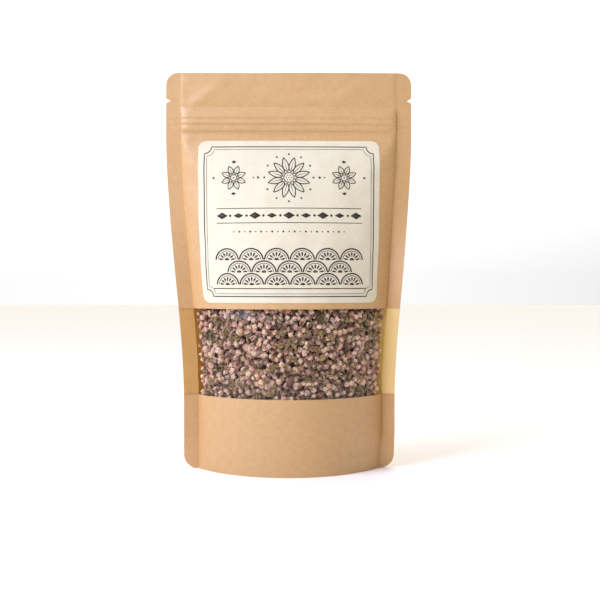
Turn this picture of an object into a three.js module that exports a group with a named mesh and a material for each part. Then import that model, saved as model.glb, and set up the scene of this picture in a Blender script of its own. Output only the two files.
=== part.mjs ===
// A kraft paper stand-up pouch with a clear window, a zip and a label, full of dried heather flowers.
// Millimetres, +Z up. The front faces -Y and the width runs along X. The origin is the centre of the base.
import * as THREE from 'three';

// Driving dimensions of the pouch
const WIDTH = 130;
const HEIGHT = 210;
const SEAL = 8;
const WAIST = 9;                // how much each side draws in where the pouch is full
const BULGE_TOP = 174;          // above this height the pouch is flat
const BULGE_FULL = 36;          // below this height the section no longer changes
const TOP_CORNER = 6.5;
const FOOT_CORNER = 7;
const NOTCH_Z = 195.1;
const NOTCH_DEPTH = 2.4;
const NOTCH_HALF = 1.3;

// Window, label and zip
const WINDOW_LOW = 39.4;
const WINDOW_HIGH = 85.3;
const LABEL_LOW = 88.5;
const LABEL_HIGH = 173.6;
const LABEL_CORNER = 4;
const ZIP_LOW = 179.2;
const ZIP_HIGH = 190.8;
const ZIP_RAMP = 1.2;
const ZIP_SWELL = 0.9;
const ZIP_HALF_LENGTH = 55;

// Layers: each is a distance outwards from the inside face of the wall
const GLUE_LINE = 0.1;
const FILM = 0.2;
const PAPER = 0.3;
const LABEL_PAPER = 0.2;
const WEB = 0.25;
const SEAM_HALF = 0.05;         // half of the line between two walls that are sealed together
const SEAM_HALF_FOOT = 0.45;    // the same where the folded gusset lies between them

// Gusset and contents
const GUSSET = 40;              // height of the fold at the sides
const GUSSET_SEAL = 6;          // height of the curved foot seal at the middle
const RIDGE = 8;                // height of the fold's crease at the middle
const FLOOR_HALF = 26;          // half-width of the part that lies on the floor
const DROP = 0.72;              // shares of the depth between which the web lies lowest
const RISE = 0.3;
const LEAF_FOLD = 2;            // height over which the two leaves close into the fold in the seals
const END_FOLD = 4;             // the same just inside the seals
const GUSSET_EDGE_LIFT = 1.5;   // keeps the gusset's ends inside the rounded foot corners
const FILL_TOP = 152;
const FILL_DOME = 5;
const FILL_CLEAR = 0.5;

const COLOURS = {
  kraft: 0xd2a878, film: 0xf2efe8, label: 0xf6efe0, zip: 0xe6ddcc, heather: 0x9a7a72,
};

const smoothstep = THREE.MathUtils.smoothstep;
const HALF_ARC = WIDTH / 2 - SEAL;

// Shares of the curved wall's width, measured along the paper: they stay on the same line of the paper
const LABEL_EDGE = 47.5 / HALF_ARC;
const ZIP_EDGE = 0.97;
const COLUMNS = [0, 0.21, 0.42, 0.63, LABEL_EDGE, ZIP_EDGE, 1];

// Half-width of the pouch at height z. The paper doesn't stretch, so the sides draw in as the wall bulges.
function halfWidth(z) {
  const t = THREE.MathUtils.clamp((BULGE_TOP - z) / (BULGE_TOP - BULGE_FULL), 0, 1);
  return WIDTH / 2 - WAIST * (0.85 * smoothstep(t, 0, 1) + 0.15 * t);
}

// Half-width of the cut outline: the corners are rounded, and the tear notches are V cuts.
function outline(z) {
  const half = halfWidth(z);
  if (z < FOOT_CORNER) return half - FOOT_CORNER + Math.sqrt(FOOT_CORNER ** 2 - (FOOT_CORNER - z) ** 2);
  const above = z - (HEIGHT - TOP_CORNER);
  if (above > 0) return half - TOP_CORNER + Math.sqrt(Math.max(TOP_CORNER ** 2 - above ** 2, 0));
  const notch = 1 - Math.abs(z - NOTCH_Z) / NOTCH_HALF;
  return half - NOTCH_DEPTH * Math.max(notch, 0);
}

// Half of the angle that the wall's arc covers, from the arc's length and its chord.
function arcAngle(z) {
  const chord = (halfWidth(z) - SEAL) / HALF_ARC;
  let angle = Math.sqrt(6 * (1 - chord));
  for (let step = 0; step < 6; step++) {
    const slope = (angle * Math.cos(angle) - Math.sin(angle)) / angle ** 2 || 1;
    angle -= (Math.sin(angle) / angle - chord || 0) / slope;
  }
  return Math.max(angle || 0, 0.001);
}

// Distance of the inside face from the middle plane in the seals, and how far the zip lifts it elsewhere.
function seamHalf(z) {
  return THREE.MathUtils.mapLinear(smoothstep(z, GUSSET + 1, GUSSET + 6), 0, 1, SEAM_HALF_FOOT, SEAM_HALF);
}

function zipLift(z) {
  const up = THREE.MathUtils.clamp((z - ZIP_LOW + ZIP_RAMP) / ZIP_RAMP, 0, 1);
  const down = THREE.MathUtils.clamp((ZIP_HIGH + ZIP_RAMP - z) / ZIP_RAMP, 0, 1);
  return ZIP_SWELL * Math.min(up, down);
}

// A point of the front wall, at a share of its width and a height, outwards by a distance from its inside.
// A share of 1 is the inner edge of the side seal.
function wall(share, z, out) {
  const angle = arcAngle(z);
  const radius = HALF_ARC / angle;
  if (Math.abs(share) === 1) {
    const x = radius * Math.sin(angle) + out * Math.tan(angle / 2);
    return new THREE.Vector3(share * x, -seamHalf(z) - out, z);
  }
  const turn = share * angle;
  const depth = (radius + out) * Math.cos(turn) - radius * Math.cos(angle);
  return new THREE.Vector3((radius + out) * Math.sin(turn), -seamHalf(z) - zipLift(z) - depth, z);
}

function sealEdge(side, z, out) {
  return new THREE.Vector3(side * outline(z), -seamHalf(z) - out, z);
}

// A closed solid between two grids of points that match. Its rim joins their borders.
function slab(outer, inner) {
  const rows = outer.length;
  const columns = outer[0].length;
  const positions = [...outer.flat(), ...inner.flat()].flatMap((point) => point.toArray());
  const top = (i, j) => i * columns + j;
  const bottom = (i, j) => rows * columns + top(i, j);
  const index = [];
  const quad = (a, b, c, d) => index.push(a, b, c, a, c, d);
  for (let i = 0; i + 1 < rows; i++) {
    for (let j = 0; j + 1 < columns; j++) {
      quad(top(i, j), top(i, j + 1), top(i + 1, j + 1), top(i + 1, j));
      quad(bottom(i, j), bottom(i + 1, j), bottom(i + 1, j + 1), bottom(i, j + 1));
    }
  }
  for (let j = 0; j + 1 < columns; j++) {
    quad(top(0, j + 1), top(0, j), bottom(0, j), bottom(0, j + 1));
    quad(top(rows - 1, j), top(rows - 1, j + 1), bottom(rows - 1, j + 1), bottom(rows - 1, j));
  }
  for (let i = 0; i + 1 < rows; i++) {
    quad(top(i, 0), top(i + 1, 0), bottom(i + 1, 0), bottom(i, 0));
    quad(top(i + 1, columns - 1), top(i, columns - 1), bottom(i, columns - 1), bottom(i + 1, columns - 1));
  }
  const geometry = new THREE.BufferGeometry();
  geometry.setAttribute('position', new THREE.Float32BufferAttribute(positions, 3));
  geometry.setIndex(signedVolume(positions, index) < 0 ? index.reverse() : index);
  geometry.computeVertexNormals();
  return geometry;
}

function signedVolume(positions, index) {
  const corner = (k) => new THREE.Vector3().fromArray(positions, 3 * index[k]);
  let volume = 0;
  for (let k = 0; k < index.length; k += 3) {
    volume += corner(k).dot(corner(k + 1).cross(corner(k + 2))) / 6;
  }
  return volume;
}

const bothSides = (shares) => [...shares.slice(1).reverse().map((share) => -share), ...shares];
const WALL_COLUMNS = bothSides(COLUMNS);

// Heights at which the outline or the wall turns, shared by all layers so that they lie parallel.
function wallRows() {
  const footTurns = [30, 60].map((a) => FOOT_CORNER * (1 - Math.cos(THREE.MathUtils.degToRad(a))));
  const topTurns = [30, 60].map((a) => HEIGHT - TOP_CORNER * (1 - Math.sin(THREE.MathUtils.degToRad(a))));
  const foot = [0, ...footTurns, FOOT_CORNER, 22];
  const body = [GUSSET + 1, GUSSET + 6, 55, 65, 75, 101, 111, 121, 131, 141, 151, 160];
  const zip = [ZIP_LOW - ZIP_RAMP, ZIP_LOW, ZIP_HIGH, ZIP_HIGH + ZIP_RAMP];
  const notch = [NOTCH_Z - NOTCH_HALF, NOTCH_Z, NOTCH_Z + NOTCH_HALF];
  const rows = [
    ...foot, WINDOW_LOW, ...body, WINDOW_HIGH, ...labelRows(), ...zip, ...notch,
    HEIGHT - TOP_CORNER, ...topTurns, HEIGHT,
  ];
  return rows.sort((a, b) => a - b);
}

function labelRows() {
  const turn = LABEL_CORNER * 0.3;
  return [0, turn, LABEL_CORNER].flatMap((inset) => [LABEL_LOW + inset, LABEL_HIGH - inset]);
}

// One layer of a wall between two heights, from one distance outwards to another.
function wallLayer(low, high, from, to) {
  const rows = wallRows().filter((z) => z >= low && z <= high);
  const grid = (out) => rows.map((z) => [
    sealEdge(-1, z, out), ...WALL_COLUMNS.map((share) => wall(share, z, out)), sealEdge(1, z, out),
  ]);
  return slab(grid(to), grid(from));
}

const PAPER_FROM = FILM + GLUE_LINE;
const PAPER_TO = PAPER_FROM + PAPER;
const LABEL_FROM = PAPER_TO + GLUE_LINE;

const frontFilm = () => wallLayer(0, HEIGHT, 0, FILM);
const frontPaperUpper = () => wallLayer(WINDOW_HIGH, HEIGHT, PAPER_FROM, PAPER_TO);
const frontPaperLower = () => wallLayer(0, WINDOW_LOW, PAPER_FROM, PAPER_TO);
const backPanel = () => wallLayer(0, HEIGHT, 0, PAPER_TO).rotateZ(Math.PI);

// The label lies on the upper paper and bends with it. Its corners are rounded.
function label() {
  const rows = wallRows().filter((z) => z >= LABEL_LOW && z <= LABEL_HIGH);
  const inner = COLUMNS.filter((share) => share < LABEL_EDGE - LABEL_CORNER / HALF_ARC);
  const edge = (z) => {
    const past = Math.max(LABEL_CORNER - Math.min(z - LABEL_LOW, LABEL_HIGH - z), 0);
    const cut = LABEL_CORNER - Math.sqrt(LABEL_CORNER ** 2 - past ** 2);
    return LABEL_EDGE - cut / HALF_ARC;
  };
  const grid = (out) => rows.map((z) => bothSides([...inner, edge(z)]).map((share) => wall(share, z, out)));
  return slab(grid(LABEL_FROM + LABEL_PAPER), grid(LABEL_FROM));
}

// Half of the gusset's section at a share of the width, as [y, z] on its upper side, from foot to fold.
// The web is sealed to the wall up to the foot seal, then drops to the floor and rises to the fold's crease.
// In the side seals its two leaves stand face to face up to the fold.
function gussetSection(share) {
  const skirt = wall(share, 0, -GLUE_LINE);
  const across = Math.abs(skirt.x) / (halfWidth(0) - SEAL);
  const half = -skirt.y;
  const line = (shares, heights) => shares.map((part, k) => [part * half, heights[k]]);
  const closing = (steps, fold) => steps.map((step) => GUSSET - step * fold);
  if (Math.abs(share) === 1) {
    return line([1, 1, 1, 1, 0], [0, ...closing([1, 0.5, 0.25, 0], LEAF_FOLD)]);
  }
  if (Math.abs(share) === ZIP_EDGE) {
    return line([1, 1, DROP, RISE, 0], [0, ...closing([1, 0.6, 0.3, 0.05], END_FOLD)]);
  }
  const seal = GUSSET_SEAL + (GUSSET - GUSSET_SEAL) * across ** 4;
  const crease = RIDGE + (GUSSET - RIDGE) * across ** 3;
  const past = Math.max(Math.abs(skirt.x) - FLOOR_HALF, 0) / (halfWidth(0) - SEAL - FLOOR_HALF);
  const sag = WEB + (GUSSET - LEAF_FOLD) * past ** 2.2;
  return line([1, 1, DROP, RISE, 0], [0, seal, sag, sag, crease]);
}

const mirrored = (section) => [
  ...section.map(([y, z]) => [-y, z]), ...section.slice(0, -1).reverse(),
];

// The same line, moved across its run by a distance, with mitred corners.
function offsetLine(line, distance) {
  const points = line.map(([y, z]) => new THREE.Vector2(y, z));
  const normals = points.slice(1).map((point, k) => {
    const run = point.clone().sub(points[k]).normalize();
    return new THREE.Vector2(run.y, -run.x);
  });
  return points.map((point, k) => {
    const before = normals[Math.max(k - 1, 0)];
    const after = normals[Math.min(k, normals.length - 1)];
    const middle = before.clone().add(after);
    return point.clone().addScaledVector(middle, distance / (middle.lengthSq() / 2)).toArray();
  });
}

// The gusset runs from one side seal to the other, with its edges half-way into the seals.
function bottomGusset() {
  const stations = bothSides(COLUMNS).map((share) => ({
    x: wall(share, 0, 0).x, section: mirrored(gussetSection(share)),
  }));
  const end = gussetSection(1).map(([y, z]) => [y, Math.max(z, GUSSET_EDGE_LIFT)]);
  const reach = halfWidth(0) - SEAL / 2;
  stations.unshift({ x: -reach, section: mirrored(end) });
  stations.push({ x: reach, section: mirrored(end) });
  const place = (x, line) => line.map(([y, z]) => new THREE.Vector3(x, y, z));
  const upper = stations.map(({ x, section }) => place(x, section));
  const lower = stations.map(({ x, section }) => place(x, offsetLine(section, WEB)));
  return slab(upper, lower);
}

// The bed of dried flowers: it fills the pouch from the gusset to a low dome below the zip.
function heatherFill() {
  const shares = bothSides(COLUMNS.filter((share) => share <= LABEL_EDGE));
  const depths = [-1, -DROP, -RISE, 0, RISE, DROP, 1];
  const levels = 12;
  const floorAt = (share, depth) => {
    const section = gussetSection(share);
    const y = Math.abs(depth * wall(share, 0, -FILL_CLEAR).y);
    const k = section.findIndex(([across]) => across <= y && across < section[0][0]);
    const between = THREE.MathUtils.inverseLerp(section[k - 1][0], section[k][0], y);
    return THREE.MathUtils.lerp(section[k - 1][1], section[k][1], between) + FILL_CLEAR;
  };
  const topAt = (share, depth) => FILL_TOP - FILL_DOME * ((share / LABEL_EDGE) ** 2 + 0.4 * depth ** 2);
  const point = (share, depth, level) => {
    const z = THREE.MathUtils.lerp(floorAt(share, depth), topAt(share, depth), level);
    const face = wall(share, z, -FILL_CLEAR);
    return new THREE.Vector3(face.x, -depth * face.y, z);
  };
  const heights = Array.from({ length: levels + 1 }, (_, k) => k / levels);
  const around = (level) => [
    ...depths.map((depth) => point(shares[0], depth, level)),
    ...shares.slice(1, -1).map((share) => point(share, 1, level)),
    ...[...depths].reverse().map((depth) => point(shares.at(-1), depth, level)),
    ...shares.slice(1, -1).reverse().map((share) => point(share, -1, level)),
  ];
  return boxOfGrids(shares, depths, heights, point, around);
}

// A closed solid with a grid on its floor, a grid on its top and a ring of points at each level between.
function boxOfGrids(shares, depths, heights, point, around) {
  const positions = [];
  const index = [];
  const ringSize = around(0).length;
  heights.forEach((level) => positions.push(...around(level).flatMap((p) => p.toArray())));
  for (let i = 0; i + 1 < heights.length; i++) {
    for (let j = 0; j < ringSize; j++) {
      const next = (j + 1) % ringSize;
      const a = i * ringSize;
      const b = a + ringSize;
      index.push(a + j, a + next, b + next, a + j, b + next, b + j);
    }
  }
  const cap = (level, flip) => {
    const start = positions.length / 3;
    shares.forEach((s) => depths.forEach((d) => positions.push(...point(s, d, level).toArray())));
    for (let i = 0; i + 1 < shares.length; i++) {
      for (let j = 0; j + 1 < depths.length; j++) {
        const a = start + i * depths.length + j;
        const b = a + depths.length;
        const faces = [a, b, b + 1, a, b + 1, a + 1];
        index.push(...(flip ? faces.reverse() : faces));
      }
    }
  };
  cap(0, false);
  cap(1, true);
  const geometry = new THREE.BufferGeometry();
  geometry.setAttribute('position', new THREE.Float32BufferAttribute(positions, 3));
  geometry.setIndex(signedVolume(positions, index) < 0 ? index.reverse() : index);
  geometry.computeVertexNormals();
  return geometry;
}

// A zip strip is one section all along the pouch's width. Its points are [y, z] from the strip's middle.
function zipStrip(section) {
  const shape = new THREE.Shape(section.map(([y, z]) => new THREE.Vector2(y, z)));
  const geometry = new THREE.ExtrudeGeometry(shape, { depth: 2 * ZIP_HALF_LENGTH, bevelEnabled: false });
  const toFrame = new THREE.Matrix4().makeBasis(
    new THREE.Vector3(0, 1, 0), new THREE.Vector3(0, 0, 1), new THREE.Vector3(1, 0, 0),
  );
  return geometry.applyMatrix4(toFrame).translate(-ZIP_HALF_LENGTH, 0, (ZIP_LOW + ZIP_HIGH) / 2);
}

const STRIP_HALF = (ZIP_HIGH - ZIP_LOW) / 2 - 0.4;
const STRIP_BACK = SEAM_HALF + ZIP_SWELL - GLUE_LINE;
const STRIP_FACE = STRIP_BACK - WEB;
const JAW_OUTSIDE = 1;
const JAW_INSIDE = 0.65;
const JAW_HOOK = 0.45;
const JAW_END = 0.4;
const HOOK_LENGTH = 0.3;
const RIB_HALF = 0.3;
const BARB_HALF = 0.55;
const BARB_LENGTH = 0.35;
const RIB_TIP_HALF = 0.2;

// Two hooked jaws that stand on the front strip.
function zipGrooveSection() {
  const hookBack = JAW_END - HOOK_LENGTH;
  const jaw = [
    [-STRIP_FACE, JAW_OUTSIDE], [JAW_END, JAW_OUTSIDE], [JAW_END, JAW_HOOK],
    [hookBack, JAW_HOOK], [hookBack, JAW_INSIDE], [-STRIP_FACE, JAW_INSIDE],
  ];
  return [
    [-STRIP_BACK, -STRIP_HALF], [-STRIP_FACE, -STRIP_HALF], ...jaw.map(([y, z]) => [y, -z]),
    ...jaw.reverse(), [-STRIP_FACE, STRIP_HALF], [-STRIP_BACK, STRIP_HALF],
  ];
}

// A rib with an arrow head that stands on the back strip, held between the two jaws.
function zipRibSection() {
  const rib = [[STRIP_FACE, RIB_HALF], [0, RIB_HALF], [0, BARB_HALF], [-BARB_LENGTH, RIB_TIP_HALF]];
  return [
    [STRIP_BACK, STRIP_HALF], [STRIP_FACE, STRIP_HALF], ...rib, ...rib.map(([y, z]) => [y, -z]).reverse(),
    [STRIP_FACE, -STRIP_HALF], [STRIP_BACK, -STRIP_HALF],
  ];
}

// Assembly
const pouch = new THREE.Group();

function addPart(name, geometry, color, roughness, more = {}) {
  const material = new THREE.MeshStandardMaterial({ color, roughness, metalness: 0, ...more });
  const mesh = new THREE.Mesh(geometry, material);
  mesh.name = name;
  pouch.add(mesh);
}

addPart('front_kraft_upper', frontPaperUpper(), COLOURS.kraft, 0.8);
addPart('front_kraft_lower', frontPaperLower(), COLOURS.kraft, 0.8);
addPart('front_film', frontFilm(), COLOURS.film, 0.15, { transparent: true, opacity: 0.25 });
addPart('back_panel', backPanel(), COLOURS.kraft, 0.8);
addPart('bottom_gusset', bottomGusset(), COLOURS.kraft, 0.8);
addPart('zip_groove_strip', zipStrip(zipGrooveSection()), COLOURS.zip, 0.4);
addPart('zip_rib_strip', zipStrip(zipRibSection()), COLOURS.zip, 0.4);
addPart('label', label(), COLOURS.label, 0.75);
addPart('heather_fill', heatherFill(), COLOURS.heather, 0.95);

export default pouch;
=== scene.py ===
import math
import random

import bmesh
import bpy
from mathutils import Matrix, Vector, noise


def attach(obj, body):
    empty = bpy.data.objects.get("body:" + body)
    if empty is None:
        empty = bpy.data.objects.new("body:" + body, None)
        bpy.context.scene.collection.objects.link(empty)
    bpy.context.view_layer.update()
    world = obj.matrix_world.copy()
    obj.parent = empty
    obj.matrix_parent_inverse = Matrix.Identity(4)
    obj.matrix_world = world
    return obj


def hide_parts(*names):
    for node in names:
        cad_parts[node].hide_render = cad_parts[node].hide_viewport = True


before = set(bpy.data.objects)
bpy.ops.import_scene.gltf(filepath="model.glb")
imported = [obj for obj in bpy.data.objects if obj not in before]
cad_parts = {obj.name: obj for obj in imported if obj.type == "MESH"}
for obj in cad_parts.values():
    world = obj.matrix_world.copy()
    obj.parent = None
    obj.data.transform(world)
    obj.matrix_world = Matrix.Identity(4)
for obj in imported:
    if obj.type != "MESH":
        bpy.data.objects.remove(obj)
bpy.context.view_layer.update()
MM = 0.001


# Camera
# Straight ahead of the pouch, half a metre away, level with its middle and aimed a little below it.
CAMERA_PLACE = (0, -500 * MM, 101.5 * MM)
CAMERA_AIM = Vector((5.9 * MM, 0, 89.6 * MM))
CAMERA_LENS = 56.3


def begin(add_primitive, name, **settings):
    """Adds a new object with nothing else selected, and names it and its data."""
    bpy.ops.object.select_all(action="DESELECT")
    add_primitive(**settings)
    piece = bpy.context.object
    piece.name = piece.data.name = name
    return piece


camera = begin(bpy.ops.object.camera_add, "front_camera", location=CAMERA_PLACE)
camera.rotation_euler = (CAMERA_AIM - camera.location).to_track_quat("-Z", "Y").to_euler()
camera.data.sensor_width = 36
camera.data.lens = CAMERA_LENS
bpy.context.scene.camera = camera


# Front kraft paper, upper part
# Brown sack paper laminated to the clear film behind it, from the window's top edge up to the pouch's mouth.
# It is cut flat with two tear notches, sealed along both sides, pressed over the zip, and bulges when filled.
WEB_WIDTH = 130 * MM
WEB_HEIGHT = 210 * MM
SEAL = 8 * MM
HALF_ARC = WEB_WIDTH / 2 - SEAL  # half of the paper's width between the side seals
WAIST = 9 * MM  # how far each side draws in where the pouch is fullest
BULGE_TOP = 174 * MM
BULGE_FULL = 36 * MM
GUSSET = 40 * MM
SEAM_HALF = 0.05 * MM  # half of the gap between the walls' inner faces in the seals
SEAM_HALF_FOOT = 0.27 * MM  # the same where the gusset's leaves lie between them
ZIP_LOW = 179.2 * MM
ZIP_HIGH = 190.8 * MM
NOTCH_HEIGHT = 195.1 * MM
NOTCH_DEPTH = 2.4 * MM
NOTCH_HALF = 1.3 * MM
TOP_CORNER = 6.5 * MM
CURL_RIGHT = math.radians(33)
CURL_LEFT = math.radians(12)
WINDOW_LOW = 39.4 * MM
WINDOW_HIGH = 85.3 * MM
PAPER_INSIDE = 0.12 * MM
PAPER = 0.2 * MM

arc_angles = {}


def rise(low, high, value):
    """0 below low, 1 above high and a smooth step between them; with low above high it falls."""
    share = min(max((value - low) / (high - low), 0), 1)
    return share * share * (3 - 2 * share)


def bent(z):
    """How far the side seals are bent forward at a height: most in the body, not at the foot or the zip."""
    return rise(150 * MM, 85 * MM, z) * rise(2 * MM, 22 * MM, z)


def curl(u, z):
    """The angle by which a side seal is bent forward."""
    return (CURL_RIGHT if u > 0 else CURL_LEFT) * bent(z)


def drift(z):
    """How far the body moves aside and widens, to make up for the width that the bent right seal loses."""
    return SEAL * (1 - math.cos(curl(1, z))) / 2


def half_width(z):
    """Half of the pouch's width at a height: it narrows from the flat top to the filled body."""
    share = min(max((BULGE_TOP - z) / (BULGE_TOP - BULGE_FULL), 0), 1)
    return WEB_WIDTH / 2 - WAIST * (0.85 * rise(0, 1, share) + 0.15 * share) + drift(z)


def arc_angle(z):
    """Half of the angle that the bulged wall covers at a height, from its fixed length and its chord."""
    if z not in arc_angles:
        chord = (half_width(z) - SEAL) / HALF_ARC
        angle = max(math.sqrt(6 * (1 - chord)), 0.001)
        for _ in range(5):
            miss = math.sin(angle) / angle - chord
            angle = max(angle - miss * angle * angle / (angle * math.cos(angle) - math.sin(angle)), 0.001)
        arc_angles[z] = angle
    return arc_angles[z]


def ripple(u, z, wide, tall, seed):
    """A smooth random swing about nought, with waves of a given width and height."""
    return noise.noise(Vector((u / wide, z / tall, 7.3 * seed)))


def ridge(distance, width):
    """1 on a line, falling off smoothly to both sides."""
    return math.exp(-((distance / width) ** 2))


# How far the zip pushes the paper out: heights up the pouch and the stand there, in millimetres.
ZIP_PROFILE = [
    (146.0, 0.0), (162.0, 0.7), (171.0, 1.25), (175.4, 1.75), (176.9, 1.25), (178.4, 1.35), (179.6, 2.25),
    (180.6, 2.4), (181.9, 1.85), (182.2, 1.9), (183.3, 2.6), (183.6, 2.6), (185.1, 1.85), (185.3, 1.85),
    (186.3, 2.15), (186.6, 2.15), (188.5, 1.3), (190.6, 0.4), (191.8, 0.0),
]


def zip_stand(z):
    """The zip's print in the paper: a sloping band, two rails, and a swelling below them."""
    for (low, stand_low), (high, stand_high) in zip(ZIP_PROFILE, ZIP_PROFILE[1:]):
        if low * MM <= z <= high * MM:
            return (stand_low + (stand_high - stand_low) * rise(low * MM, high * MM, z)) * MM
    return 0


def crease(u, z, start, end, width):
    """A soft fold between two places in millimetres, which fades out at both ends."""
    place = Vector((u / MM - start[0], z / MM - start[1]))
    along = Vector((end[0] - start[0], end[1] - start[1]))
    share = place.dot(along) / along.length_squared
    across = abs(place.x * along.y - place.y * along.x) / along.length
    return ridge(across, width) * rise(-0.1, 0.3, share) * rise(1.3, 0.6, share)


# The paper's relief: a share of the zip's print is left in the crushed seals, the body stands out at its
# shoulders, it waves and puckers beside the seals, a lip lines each seal, and the bare film swells most.
ZIP_CRUSHED = 0.15
SHOULDER = 2.6 * MM
BODY_WAVE = 0.4 * MM
PUCKER = 0.35 * MM
SEAL_LIP = 0.22 * MM
WINDOW_SWELL = 1.5 * MM
BACK_DENT = 0.6 * MM
# Creases in millimetres: their height, both ends as (across, up), and their width.
FRONT_CREASES = [
    (0.5, (-55, 190), (-35, 205), 2.6), (0.35, (-56, 175), (-48, 162), 1.2),
    (0.3, (56, 176), (49, 163), 1.4), (0.4, (20, 192), (36, 202), 2.4),
]
BACK_CREASES = [
    (0.9, (-54, 168), (-26, 128), 3.2), (0.7, (55, 160), (30, 118), 3),
    (0.8, (54, 44), (20, 74), 3.4), (0.6, (-52, 52), (-30, 88), 2.8),
]


def wall_relief(u, z, side):
    """How far the paper stands out of its plain bulged shape: zip, shoulders, creases and dents."""
    inside = max(HALF_ARC - abs(u), 0)
    inner = rise(0, 2.2 * MM, inside)
    crushed = -ZIP_CRUSHED * side
    lift = zip_stand(z) * (crushed + (1 - crushed) * rise(0, 1.2 * MM, inside))
    lift *= 1 + 0.1 * ripple(u, z, 12 * MM, 30 * MM, side)
    flap = rise(ZIP_HIGH, ZIP_HIGH + 5 * MM, z) * inner
    loose = 0.35 + 0.7 * ripple(u, z, 26 * MM, 12 * MM, side) + 0.2 * ripple(u, z, 9 * MM, 6 * MM, side + 4)
    lift += flap * max(loose, 0.02) * MM
    spread = (2 + 3.5 * rise(175 * MM, 150 * MM, z)) * MM
    shoulder = SHOULDER * (1 - math.exp(-inside / spread))
    shoulder *= rise(177 * MM, 160 * MM, z) * rise(55 * MM, 125 * MM, z)
    lift += shoulder * (1 + 0.2 * ripple(u, z, 9 * MM, 11 * MM, side + 6))
    body = rise(ZIP_LOW, ZIP_LOW - 12 * MM, z) * inner
    lift += body * BODY_WAVE * ripple(u, z, 24 * MM, 32 * MM, side + 9)
    lift += body * PUCKER * ridge(inside, 7 * MM) * ripple(u, z, 14 * MM, 7 * MM, side + 2)
    lift += SEAL_LIP * ridge(abs(u) - HALF_ARC + 0.5 * MM, 0.4 * MM)
    if side < 0:
        bare = rise(WINDOW_HIGH, WINDOW_HIGH - 7 * MM, z) * rise(WINDOW_LOW, WINDOW_LOW + 9 * MM, z)
        lift += WINDOW_SWELL * bare * rise(0, 12 * MM, inside)
    else:
        lift += BACK_DENT * body * (1 + ripple(u, z, 17 * MM, 21 * MM, 11))
    for height, start, end, width in FRONT_CREASES if side < 0 else BACK_CREASES:
        lift += height * MM * crease(u, z, start, end, width)
    return lift


SIDE_SWAY = 0.7 * MM
MOUTH_LEAN = 1.3 * MM


def wave(u, z):
    """How far both walls together lean out of the plane of the seals."""
    edge = rise(HALF_ARC - 8 * MM, HALF_ARC + 4 * MM, abs(u)) * rise(4 * MM, 30 * MM, z)
    mouth = rise(ZIP_HIGH + 2 * MM, WEB_HEIGHT, z)
    sway = SIDE_SWAY * edge * ripple(u, z, 90 * MM, 42 * MM, 3)
    sway -= max(abs(u) - HALF_ARC, 0) * math.sin(curl(u, z))
    return sway + MOUTH_LEAN * mouth * ripple(u, z, 45 * MM, 60 * MM, 5)


def wall(u, z, out, side):
    """A point of the paper: u across it, z up it, out from its inside face; side is -1 in front, 1 behind."""
    angle = arc_angle(z)
    radius = HALF_ARC / angle
    turn = min(max(u / HALF_ARC, -1), 1) * angle
    past = math.copysign(max(abs(u) - HALF_ARC, 0), u)
    facing = turn * rise(HALF_ARC + 0.3 * MM, HALF_ARC - 1.2 * MM, abs(u))
    seam = SEAM_HALF + (SEAM_HALF_FOOT - SEAM_HALF) * rise(GUSSET + 6 * MM, GUSSET + 1 * MM, z)
    stand = out + wall_relief(u, z, side)
    x = drift(z) + radius * math.sin(turn) + past * math.cos(curl(u, z)) + stand * math.sin(facing)
    y = seam + radius * (math.cos(turn) - math.cos(angle)) + stand * math.cos(facing)
    return Vector((x, side * y + wave(u, z), z))


def spaced(low, high, step):
    """Even places between two ends, without the ends."""
    count = max(round((high - low) / step), 1)
    return [low + (high - low) * k / count for k in range(1, count)]


def pick(piece, test):
    """Selects the vertices that pass a test, in edit mode."""
    mesh = bmesh.from_edit_mesh(piece.data)
    bpy.ops.mesh.select_all(action="DESELECT")
    for vertex in mesh.verts:
        vertex.select_set(bool(test(vertex.co)))
    mesh.select_flush(True)
    bmesh.update_edit_mesh(piece.data)


def score(columns, rows):
    """Cuts a flat sheet in edit mode along upright and level lines, so that it can bend there."""
    for x in columns:
        bpy.ops.mesh.select_all(action="SELECT")
        bpy.ops.mesh.bisect(plane_co=(x, 0, 0), plane_no=(1, 0, 0))
    for z in rows:
        bpy.ops.mesh.select_all(action="SELECT")
        bpy.ops.mesh.bisect(plane_co=(0, 0, z), plane_no=(0, 0, 1))


# Where the sheets are scored: closer at the seals, and closest over the zip.
SEAL_COLUMNS = [hand * (HALF_ARC + step * MM) for step in (-0.6, 0, 0.6, 2.9, 5.3) for hand in (1, -1)]
COLUMNS = spaced(-HALF_ARC + 0.6 * MM, HALF_ARC - 0.6 * MM, 2 * MM) + SEAL_COLUMNS
ROWS = [
    *spaced(0, 165 * MM, 2.4 * MM), *spaced(165 * MM, ZIP_LOW - 2 * MM, 0.9 * MM),
    *spaced(ZIP_LOW - 2 * MM, ZIP_HIGH + 2 * MM, 0.35 * MM),
    NOTCH_HEIGHT - NOTCH_HALF, NOTCH_HEIGHT, NOTCH_HEIGHT + NOTCH_HALF,
    *spaced(NOTCH_HEIGHT + NOTCH_HALF, WEB_HEIGHT, 1.6 * MM),
]


def cut_sheet(name, half, low, high, corner, rounded, rows=ROWS):
    """A flat scored sheet in the plane of the seals, facing the front, some of its corners rounded."""
    sheet = begin(
        bpy.ops.mesh.primitive_plane_add, name, size=1, calc_uvs=False, location=(0, 0, (low + high) / 2),
        rotation=(math.pi / 2, 0, 0))
    sheet.scale = (2 * half, high - low, 1)
    bpy.ops.object.transform_apply(location=True, rotation=True, scale=True)
    bpy.ops.object.mode_set(mode="EDIT")
    pick(sheet, lambda place: any(abs(place.z - height) < MM for height in rounded))
    if rounded:
        bpy.ops.mesh.bevel(offset_type="OFFSET", offset=corner, segments=8, affect="VERTICES")
    score([x for x in COLUMNS if abs(x) < half], [z for z in rows if low < z < high])
    bpy.ops.object.mode_set(mode="OBJECT")
    return sheet


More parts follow.
